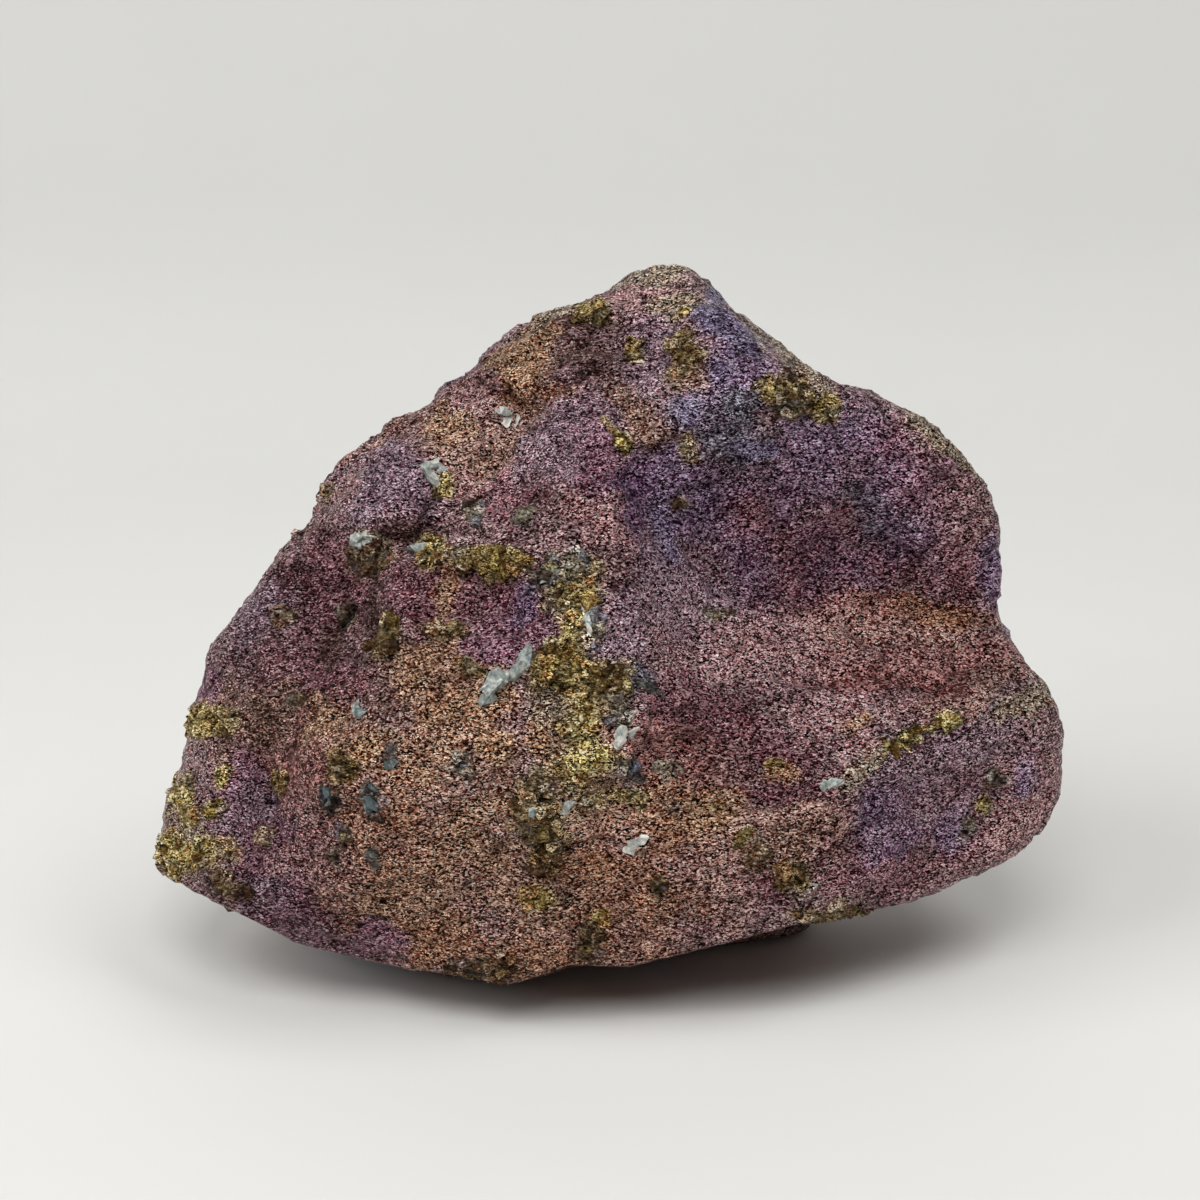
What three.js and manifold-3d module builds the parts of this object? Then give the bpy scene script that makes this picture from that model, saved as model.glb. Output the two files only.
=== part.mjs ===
// A hand-sized chunk of peacock ore: one broken piece of bornite and chalcopyrite, in millimetres, +Z up.
//
// The chunk is worked out as a solid function: a pebble with the chunk's own outline, broken by fracture
// faces, opened by a valley and a few scoops, with ridges, flaked plates and scars and small chips all over.
// A ball of triangles is then shrunk onto that function, and the foot is cut flat where the chunk rests.
//
// Shapes are placed in the chunk's own frame, whose origin is the heart of the stone:
//   across = to the right,  up = along the plane of the widest outline,  out = square to it, towards the front.
// That plane leans back by LEAN, so the front looks a little upwards.

import * as THREE from "three";
import { ImprovedNoise } from "three/addons/math/ImprovedNoise.js";
import { mergeVertices } from "three/addons/utils/BufferGeometryUtils.js";
import Module from "manifold-3d";

// ---- driving dimensions ---------------------------------------------------------------------------------

const LEAN = THREE.MathUtils.degToRad(17); // how far the widest outline leans back from upright
const FRONT_DEPTH = 29; // from the widest outline to the front of the pebble
const BACK_DEPTH = 33; // and to its back
const PEBBLE_POWER = 2.5; // 2 is an ellipsoid, more is boxier
const FOOT_LEVEL = -36.6; // height of the resting face below the heart of the stone
const BALL_DETAIL = 21; // splits per edge of the starting icosahedron: 20 * (detail + 1)^2 triangles
const BALL_STRETCH = [52, 42, 34]; // starting ball, so that the triangles come out alike in size
const BALL_BIAS = 0.25; // above zero, the triangles are finer at the front than at the back

// The widest outline, clockwise from the summit: [across, up].
const OUTLINE = [
  [6.8, 42.2], // summit
  [10.0, 41.0],
  [12.3, 38.4],
  [14.7, 35.6],
  [19.7, 31.8],
  [24.8, 28.2],
  [29.6, 26.8], // shoulder knob
  [36.0, 23.1],
  [40.3, 18.3],
  [43.4, 13.8], // right corner above the notch
  [43.0, 10.0],
  [43.2, 2.2],
  [45.3, -2.4],
  [48.6, -6.4],
  [50.4, -11.6], // right-hand nose
  [50.5, -17.4],
  [48.2, -21.6],
  [41.4, -24.8],
  [36.0, -26.8],
  [31.6, -28.8],
  [25.5, -30.0],
  [16.6, -32.0],
  [8.9, -33.6],
  [3.3, -36.2],
  [-1.1, -35.5],
  [-7.2, -36.8],
  [-10.5, -38.0], // keel
  [-16.6, -37.0],
  [-22.2, -36.6],
  [-26.6, -35.2],
  [-34.4, -33.8],
  [-41.0, -30.8],
  [-46.0, -28.2],
  [-48.9, -28.0],
  [-50.6, -24.8], // left-hand tip
  [-49.2, -18.3],
  [-46.6, -8.9],
  [-43.5, 0.0],
  [-38.4, 8.3],
  [-32.7, 13.9],
  [-29.4, 18.0],
  [-25.0, 22.2],
  [-20.0, 25.7],
  [-16.1, 30.5],
  [-11.1, 34.4],
  [-2.2, 37.5],
  [3.3, 41.3],
];

// ---- small tools for solid functions: a value is below zero inside the stone, in millimetres ------------

const { degToRad } = THREE.MathUtils;

// The larger of two values, with the edge between them rounded over the width `round`.
function join(a, b, round) {
  const overlap = Math.max(round - Math.abs(a - b), 0);
  return Math.max(a, b) + (overlap * overlap) / (4 * round);
}

// The smaller of two values, with the crease filled over the width `round`.
function meet(a, b, round) {
  return -join(-a, -b, round);
}

// A flat fracture face through a point. It looks `right` degrees to the right and `rise` degrees upwards;
// right 0 and rise 0 look straight out of the front, right 180 out of the back.
function face(through, right, rise) {
  const turn = degToRad(right);
  const tilt = degToRad(rise);
  const level = Math.cos(tilt);
  const normal = new THREE.Vector3(Math.sin(turn) * level, Math.sin(tilt), Math.cos(turn) * level);
  const offset = normal.dot(new THREE.Vector3(...through));
  return (p) => normal.dot(p) - offset;
}

// An egg-shaped space or lump, turned about the way out of the front by `roll` degrees.
function egg(centre, radii, roll = 0) {
  const heart = new THREE.Vector3(...centre);
  const size = new THREE.Vector3(...radii);
  const axis = new THREE.Vector3(0, 0, 1);
  const least = Math.min(...radii);
  return (p) => {
    const q = p.clone().sub(heart).applyAxisAngle(axis, -degToRad(roll)).divide(size);
    return (q.length() - 1) * least;
  };
}

// A rounded bar from one point to another, thinning from one radius to the other.
function bar(from, to, startRadius, endRadius) {
  const a = new THREE.Vector3(...from);
  const along = new THREE.Vector3(...to).sub(a);
  return (p) => {
    const share = THREE.MathUtils.clamp(p.clone().sub(a).dot(along) / along.lengthSq(), 0, 1);
    const radius = THREE.MathUtils.lerp(startRadius, endRadius, share);
    return p.distanceTo(a.clone().addScaledVector(along, share)) - radius;
  };
}

// ---- the pebble: the outline, swollen to the front and back ---------------------------------------------

const turnOf = ([across, up]) => Math.atan2(up, across);
const corners = OUTLINE.map((point) => ({ point, turn: turnOf(point) })).sort((a, b) => a.turn - b.turn);

// Distance from the heart to the outline in the direction `turn`.
function outlineReach(turn) {
  const next = corners.findIndex((corner) => corner.turn > turn);
  const [bx, by] = corners[next < 0 ? 0 : next].point;
  const [ax, ay] = corners[(next < 1 ? corners.length : next) - 1].point;
  const [dx, dy] = [Math.cos(turn), Math.sin(turn)];
  return (ax * by - ay * bx) / (dx * (by - ay) - dy * (bx - ax));
}

function pebble(p) {
  const reach = outlineReach(turnOf([p.x, p.y]));
  const depth = p.z > 0 ? FRONT_DEPTH : BACK_DEPTH;
  const flat = (Math.hypot(p.x, p.y) / reach) ** PEBBLE_POWER;
  const thick = (Math.abs(p.z) / depth) ** PEBBLE_POWER;
  const swell = (flat + thick) ** (1 / PEBBLE_POWER);
  return p.length() * (1 - 1 / swell);
}

// ---- the features ---------------------------------------------------------------------------------------

const FRONT = 1;
const BACK = -1;

// Faces that chip the pebble. `round` is how blunt the edge with the rest is.
const FRACTURES = [
  // front, left of the spine
  { cut: face([-14, 12, 15.5], -34, 34), round: 3 }, // upper left face
  { cut: face([-35, -14, 15.5], -44, 4), round: 3 }, // left cheek
  { cut: face([-16, -12, 27], -8, 14), round: 5 }, // top of the belly
  { cut: face([-20, -27, 19], -14, -34), round: 5 }, // under the belly
  // front, right of the spine
  { cut: face([12, -24, 17], 10, -26), round: 4 }, // lower front face
  { cut: face([37.7, -9.5, 11.5], 34, -14), round: 2 }, // lower right face, under the ledge
  // back
  { cut: face([0, 2, -30], 180, 8), round: 4 },
  { cut: face([24, 8, -22], 138, 26), round: 3 },
  { cut: face([-24, 6, -20], -136, 22), round: 3 },
  { cut: face([-18, -24, -24], -160, -38), round: 5 },
  { cut: face([22, -24, -22], 150, -34), round: 4 },
];

// The big hollow on the right: an upper wall that looks down, a lower one that looks up, and the spine's side.
const VALLEY_WALLS = [face([21, 4, 7], 15, -21), face([21, 4, 7], 17, 38), face([2.6, 18.9, 17], 45, 15)];
const VALLEY_CREASE_ROUND = 2.5;
const VALLEY_RIM_ROUND = 2.5;

// Scoops taken out of the stone.
const SCOOPS = [
  { hollow: egg([13, -13, 30], [14, 7.5, 12], 6), round: 3 }, // shell-shaped bowl under the valley
  { hollow: egg([48, 8, 4], [4, 4.5, 9]), round: 1 }, // right-hand notch
  { hollow: egg([-6, 10, -42], [17, 14, 15], 25), round: 3 }, // shell on the back
  { hollow: egg([26, -14, -34], [12, 9, 12], -20), round: 2.5 },
];

// Ridges left standing on it.
const RIDGES = [
  { lump: bar([-2, 28, 9], [0, 14, 16], 2.5, 3), round: 4 }, // spine
  { lump: bar([29, -13, 16], [46, -7.5, 4], 1.5, 1.5), round: 2 }, // crest of the right ledge
  { lump: egg([15, -31, -17], [9, 6, 8]), round: 5 }, // heel, which widens the foot to the right and the back
];

// Plates are where a layer still stands, scars where one has flaked off: the surface stands `height` higher
// (or lower, below zero) inside the outline of [across, up] corners.
const FLAKES = [
  // front, upper left: a slab, a knob, a smooth plate and the scar between them
  { side: FRONT, height: 2.2, outline: [[-33, 16], [-25, 24], [-20, 22], [-20, 15], [-22, 11], [-31, 12]] },
  { side: FRONT, height: 1.8, outline: [[-17, 30], [-11, 36], [-5, 34], [-5.3, 28.6], [-8, 26.4], [-14, 26]] },
  { side: FRONT, height: 1, outline: [[-9, 25], [-5, 27.5], [0, 29], [0, 17], [-5.5, 14.4], [-9, 16.6]] },
  { side: FRONT, height: -1, outline: [[-19, 24], [-10, 25.5], [-10, 15], [-19, 13]] },
  // front: the vein, the pockets beside it and the groove by the left-hand tip
  { side: FRONT, height: 1.2, outline: [[-5, 7], [0, 0], [1, -13], [-2, -19], [-6, -24], [-9, -20], [-9, -6]] },
  { side: FRONT, height: -1.1, outline: [[-21, 3], [-14, 7], [-6, 6], [-7, -1], [-9.6, -7], [-17, -4.6]] },
  { side: FRONT, height: -1.4, outline: [[-38, 8], [-31, 10], [-24, 9], [-22.6, 2.6], [-27, -4], [-35, -3]] },
  { side: FRONT, height: -1.4, outline: [[-41, -11], [-37, -10.4], [-35, -18], [-36.6, -26], [-41, -26]] },
  // front: the plate under the bowl
  { side: FRONT, height: 1.2, outline: [[4, -19.4], [15, -20], [24, -16.6], [29, -24], [20, -36], [2, -38]] },
  // back
  { side: BACK, height: 2.6, outline: [[-30, 24], [-12, 30], [-6, 18], [-20, 8], [-36, 10]] },
  { side: BACK, height: -2.4, outline: [[4, 30], [20, 26], [26, 12], [10, 6], [0, 16]] },
  { side: BACK, height: 2.2, outline: [[-34, -4], [-14, -2], [-10, -18], [-28, -24], [-40, -16]] },
  { side: BACK, height: -2, outline: [[0, -6], [14, -4], [18, -18], [6, -26], [-6, -18]] },
  { side: BACK, height: 1.8, outline: [[30, 4], [46, 2], [48, -16], [34, -20], [26, -8]] },
];
const FLAKE_EDGE = 3; // how wide the sloping edge of a flake is

// Chips all over: the surface is broken into small planes, each a little higher or lower than the next.
const CHIP_SIZE = 8;
const CHIP_HEIGHT = 0.6;
const CHIP_SLOPE = 0.18;
const CHIP_EDGE = 0.8;

const chips = new Map();

// The chip of one cell of a loose grid: its place, its height and the way it slopes.
function chipIn(i, j, k) {
  const key = `${i} ${j} ${k}`;
  if (!chips.has(key)) {
    THREE.MathUtils.seededRandom(1 + (i + 40) + 97 * (j + 40) + 9409 * (k + 40));
    const spread = () => THREE.MathUtils.seededRandom() * 2 - 1;
    spread();
    const place = new THREE.Vector3(...[i, j, k].map((cell) => (cell + 0.5 + spread() * 0.45) * CHIP_SIZE));
    const slope = new THREE.Vector3(spread(), spread(), spread()).multiplyScalar(CHIP_SLOPE);
    chips.set(key, { place, height: spread() * CHIP_HEIGHT, slope });
  }
  return chips.get(key);
}

// Height of the chips at a point: that of the nearest chip, blended with the next ones along their edges.
function chipped(p) {
  const [i, j, k] = p.toArray().map((value) => Math.floor(value / CHIP_SIZE));
  const away = new THREE.Vector3();
  let weights = 0;
  let height = 0;
  for (let x = i - 1; x <= i + 1; x++)
    for (let y = j - 1; y <= j + 1; y++)
      for (let z = k - 1; z <= k + 1; z++) {
        const chip = chipIn(x, y, z);
        away.subVectors(p, chip.place);
        const weight = Math.exp(-away.length() / CHIP_EDGE);
        weights += weight;
        height += weight * (chip.height + chip.slope.dot(away));
      }
  return height / weights;
}

// Waves over the whole surface: [wavelength, height].
const WAVES = [
  [19, 1],
  [6, 0.4],
];
const noise = new ImprovedNoise();

function waves(p) {
  return WAVES.reduce(
    (sum, [length, height]) => sum + height * noise.noise(p.x / length + 5, p.y / length + 2, p.z / length + 9),
    0,
  );
}

// How far a point lies inside a closed outline, in millimetres; below zero outside.
function insideOutline(outline, x, y) {
  let nearest = Infinity;
  let inside = false;
  outline.forEach(([bx, by], i) => {
    const [ax, ay] = outline.at(i - 1);
    const [ex, ey] = [bx - ax, by - ay];
    const share = THREE.MathUtils.clamp(((x - ax) * ex + (y - ay) * ey) / (ex * ex + ey * ey), 0, 1);
    nearest = Math.min(nearest, Math.hypot(x - ax - share * ex, y - ay - share * ey));
    if (ay > y !== by > y && x < ax + ((y - ay) * ex) / ey) inside = !inside;
  });
  return inside ? nearest : -nearest;
}

// Height of the flakes at a point: each fades in across its edge, and fades out towards the widest outline.
function flakes(p) {
  return FLAKES.reduce((sum, { side, height, outline }) => {
    if (p.z * side < 0) return sum;
    const edge = THREE.MathUtils.smoothstep(insideOutline(outline, p.x, p.y), -FLAKE_EDGE / 2, FLAKE_EDGE / 2);
    return sum + height * edge * THREE.MathUtils.smoothstep(p.z * side, 1, 7);
  }, 0);
}

// Near the widest outline the surface is calmer, so that the outline keeps its shape.
const EDGE_CALM = 0.35;
const EDGE_WIDTH = 8;

function stone(p) {
  let value = pebble(p);
  for (const { cut, round } of FRACTURES) value = join(value, cut(p), round);
  const valley = VALLEY_WALLS.map((wall) => wall(p)).reduce((a, b) => meet(a, b, VALLEY_CREASE_ROUND));
  value = join(value, valley, VALLEY_RIM_ROUND);
  for (const { lump, round } of RIDGES) value = meet(value, lump(p), round);
  for (const { hollow, round } of SCOOPS) value = join(value, -hollow(p), round);
  const rough = THREE.MathUtils.lerp(EDGE_CALM, 1, THREE.MathUtils.smoothstep(Math.abs(p.z), 0, EDGE_WIDTH));
  return value - rough * (waves(p) + chipped(p)) - flakes(p);
}

// ---- the solid ------------------------------------------------------------------------------------------

const SHRINK_ROUNDS = 40; // each round evens the mesh out, then lets it fall onto the stone
const EVENING = 0.5; // share of the way to the middle of its neighbours that a vertex moves
const LONGEST_FALL = 2;
const PROBE = 0.02; // how far apart the stone function is read to find its slope
const LEAST_STEEPNESS = 0.3;

// Moves a point along the slope of the stone function, onto its surface.
function fallOnto(point) {
  const value = stone(point);
  const probe = (axis) => stone(point.clone().setComponent(axis, point.getComponent(axis) + PROBE));
  const slope = new THREE.Vector3(...[0, 1, 2].map((axis) => (probe(axis) - value) / PROBE));
  const steepness = Math.max(slope.length(), LEAST_STEEPNESS);
  const fall = THREE.MathUtils.clamp(value / steepness, -LONGEST_FALL, LONGEST_FALL);
  return point.addScaledVector(slope.normalize(), -fall);
}

// From the chunk's own frame (across, up, out) to the part's, in which +Z is up and the front looks along -Y.
const LEAN_BACK = new THREE.Matrix4().makeRotationX(Math.PI / 2 - LEAN);

function neighboursOf(geometry) {
  const neighbours = Array.from({ length: geometry.getAttribute("position").count }, () => new Set());
  const index = geometry.getIndex().array;
  for (let i = 0; i < index.length; i++) {
    const next = i % 3 === 2 ? i - 2 : i + 1;
    neighbours[index[i]].add(index[next]);
    neighbours[index[next]].add(index[i]);
  }
  return neighbours.map((set) => [...set]);
}

// Where a ray from the ball's bias point leaves the ball.
function biased(direction) {
  const centre = new THREE.Vector3(0, 0, BALL_BIAS);
  const middle = -direction.dot(centre);
  const reach = middle + Math.sqrt(middle * middle + 1 - centre.lengthSq());
  return centre.addScaledVector(direction, reach);
}

function chunkGeometry() {
  const ball = new THREE.IcosahedronGeometry(1, BALL_DETAIL);
  ball.deleteAttribute("normal");
  ball.deleteAttribute("uv");
  const geometry = mergeVertices(ball, 1e-5);
  const position = geometry.getAttribute("position");
  const neighbours = neighboursOf(geometry);
  const stretch = new THREE.Vector3(...BALL_STRETCH);
  let points = neighbours.map((_, i) => new THREE.Vector3().fromBufferAttribute(position, i));
  points = points.map((point) => biased(point).multiply(stretch));
  for (let round = 0; round < SHRINK_ROUNDS; round++) {
    const evened = points.map((point, i) => {
      const middle = new THREE.Vector3();
      for (const n of neighbours[i]) middle.add(points[n]);
      return point.clone().lerp(middle.divideScalar(neighbours[i].length), EVENING);
    });
    points = evened.map(fallOnto);
  }
  points.forEach((point, i) => position.setXYZ(i, ...fallOnto(point)));
  return geometry.applyMatrix4(LEAN_BACK);
}

const wasm = await Module();
wasm.setup();

function toSolid(geometry) {
  const merged = mergeVertices(geometry, 1e-4);
  return new wasm.Manifold(
    new wasm.Mesh({
      numProp: 3,
      vertProperties: merged.getAttribute("position").array,
      triVerts: new Uint32Array(merged.index.array),
    }),
  );
}

function toGeometry(solid) {
  const mesh = solid.getMesh();
  return new THREE.BufferGeometry()
    .setAttribute("position", new THREE.BufferAttribute(mesh.vertProperties, 3))
    .setIndex(new THREE.BufferAttribute(mesh.triVerts, 1));
}

// A block whose top is the level on which the chunk rests.
function groundBlock() {
  const side = 200;
  const block = new THREE.BoxGeometry(side, side, side);
  block.deleteAttribute("normal");
  block.deleteAttribute("uv");
  return block.translate(0, 0, FOOT_LEVEL - side / 2);
}

const footed = toGeometry(toSolid(chunkGeometry()).subtract(toSolid(groundBlock())));
footed.computeBoundingBox();
const { min, max } = footed.boundingBox;
footed.translate(-(min.x + max.x) / 2, -(min.y + max.y) / 2, -min.z);
footed.computeVertexNormals();

const ore = new THREE.Mesh(
  footed,
  new THREE.MeshStandardMaterial({ color: 0x6b4048, roughness: 0.5, metalness: 0.7, flatShading: true }),
);
ore.name = "ore_chunk";

const part = new THREE.Group();
part.add(ore);

export default part;
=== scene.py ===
"""A chunk of peacock ore, standing on a pale studio floor.

It is granular bornite with an iridescent purple, rose and copper tarnish, a vein of brassy chalcopyrite and
a few specks of milky quartz.

The chunk is a finer copy of its CAD solid. Its relief and its colours are worked out in the same way: from
places on its front, given in millimetres as they are seen from there, and from noise everywhere else.
"""

import math
import random

import bmesh
import bpy
import numpy as np
from mathutils import Matrix, Vector, noise


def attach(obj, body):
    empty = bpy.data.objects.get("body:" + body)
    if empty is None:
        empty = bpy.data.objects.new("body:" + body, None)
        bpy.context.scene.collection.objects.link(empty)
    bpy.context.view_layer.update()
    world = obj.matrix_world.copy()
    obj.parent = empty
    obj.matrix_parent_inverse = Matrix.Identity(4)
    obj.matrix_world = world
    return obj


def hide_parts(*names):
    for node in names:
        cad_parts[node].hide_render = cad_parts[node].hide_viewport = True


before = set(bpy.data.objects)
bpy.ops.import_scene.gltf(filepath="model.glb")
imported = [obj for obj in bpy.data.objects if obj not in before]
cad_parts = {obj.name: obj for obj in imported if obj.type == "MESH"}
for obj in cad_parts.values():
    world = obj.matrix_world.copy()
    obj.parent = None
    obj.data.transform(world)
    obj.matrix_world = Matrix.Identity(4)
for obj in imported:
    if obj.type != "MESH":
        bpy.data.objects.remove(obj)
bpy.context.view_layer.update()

MM = 0.001
noise.seed_set(3)  # without a seed, noise.noise_vector differs from one run to the next

# ---- the chunk's own frame: across, up along its lean, and out of the front ------------------------

LEAN = math.radians(17)
HEART = np.array([-0.26, -1.9, 36.6])  # mm, in the frame of the CAD model
ACROSS = np.array([1, 0, 0])
UP = np.array([0, math.sin(LEAN), math.cos(LEAN)])
OUT = np.array([0, -math.cos(LEAN), math.sin(LEAN)])
AXES = np.stack([ACROSS, UP, OUT], axis=1)

# ---- the camera's place, which also says how the front is seen -------------------------------------

VIEW_WIDTH = 133.08  # mm across the view at the heart of the chunk
VIEW_ANGLE = math.radians(24)
VIEW_DISTANCE = VIEW_WIDTH / 2 / math.tan(VIEW_ANGLE / 2)
AIM = np.array([-1.109, 4.436, 0])  # mm, in the chunk's own frame


def own(points):
    """Places in the chunk's own frame, in millimetres, of places in the CAD model's, in millimetres."""
    return (points - HEART) @ AXES


def seen(points):
    """Where places in the chunk's own frame are seen from the front, in millimetres at its heart."""
    nearer = VIEW_DISTANCE / (VIEW_DISTANCE - points[:, 2])
    return AIM[:2] + (points[:, :2] - AIM[:2]) * nearer[:, None]


# ---- small tools on many places at once ------------------------------------------------------------


def ease(low, high, values):
    """0 below low, 1 above high, and a soft step between them."""
    share = np.clip((values - low) / (high - low), 0, 1)
    return share * share * (3 - 2 * share)


def noisy(points, wavelength, seed=0, octaves=1):
    """Soft noise, from -1 to 1."""
    start = Vector((seed * 17.3, seed * 5.7, seed * 9.1))
    scaled = points / wavelength
    if octaves == 1:
        return np.array([noise.noise(start + Vector(p)) for p in scaled])
    return np.array([noise.fractal(start + Vector(p), 0.9, 2.1, octaves) for p in scaled])


def wobbled(points, places, wavelength, reach, seed=0):
    """The places, pushed about by noise at the points, so that what is drawn on them gets a broken edge."""
    start = Vector((seed * 3.1, seed * 8.3, seed * 6.7))
    push = np.array([noise.noise_vector(start + Vector(p))[:2] for p in points / wavelength])
    return places + push * reach


def to_path(places, path):
    """For each place: how far it is from a path, on which side (above zero is left) and how far along."""
    path = np.array(path, float)
    nearest = np.full(len(places), np.inf)
    side = np.zeros(len(places))
    along = np.zeros(len(places))
    lengths = np.linalg.norm(np.diff(path, axis=0), axis=1)
    walked = 0.0
    for (start, end), length in zip(zip(path[:-1], path[1:]), lengths):
        run = (end - start) / length
        rest = places - start
        share = np.clip(rest @ run, 0, length)
        away = np.linalg.norm(rest - share[:, None] * run, axis=1)
        closer = away < nearest
        nearest[closer] = away[closer]
        side[closer] = np.sign(run[0] * rest[:, 1] - run[1] * rest[:, 0])[closer]
        along[closer] = (walked + share[closer]) / lengths.sum()
        walked += length
    return nearest, side, along


# ---- what lies where on the front: places as seen, in millimetres from the heart of the chunk ------

PLUM = (0.5, 0.26, 0.31)  # the body colour where nothing else lies
PLUM_WEIGHT = 0.12
BODIES = {
    "violet": (0.46, 0.28, 0.62),
    "blue": (0.36, 0.3, 0.66),
    "dusk": (0.34, 0.18, 0.43),
    "slate": (0.22, 0.22, 0.34),
    "mauve": (0.55, 0.32, 0.5),
    "orchid": (0.66, 0.38, 0.58),
    "magenta": (0.52, 0.2, 0.36),
    "maroon": (0.45, 0.155, 0.22),
    # painted shadow: a dark body laid under ledges, under the raised slab and in the recess
    "umber": (0.22, 0.11, 0.11),
    "rose": (0.77, 0.33, 0.38),
    "pink": (0.95, 0.42, 0.5),
    "salmon": (0.92, 0.42, 0.37),
    "red": (0.72, 0.23, 0.23),
    "rust": (0.68, 0.26, 0.13),
    "copper": (0.8, 0.38, 0.2),
    "orange": (0.9, 0.42, 0.2),
    "brown": (0.46, 0.23, 0.17),
    "tan": (0.72, 0.52, 0.36),
    "gold": (0.68, 0.58, 0.17),
    "olive": (0.5, 0.45, 0.2),
    "moss": (0.32, 0.31, 0.19),
    "sage": (0.38, 0.42, 0.34),
    "teal": (0.2, 0.27, 0.28),
}

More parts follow.
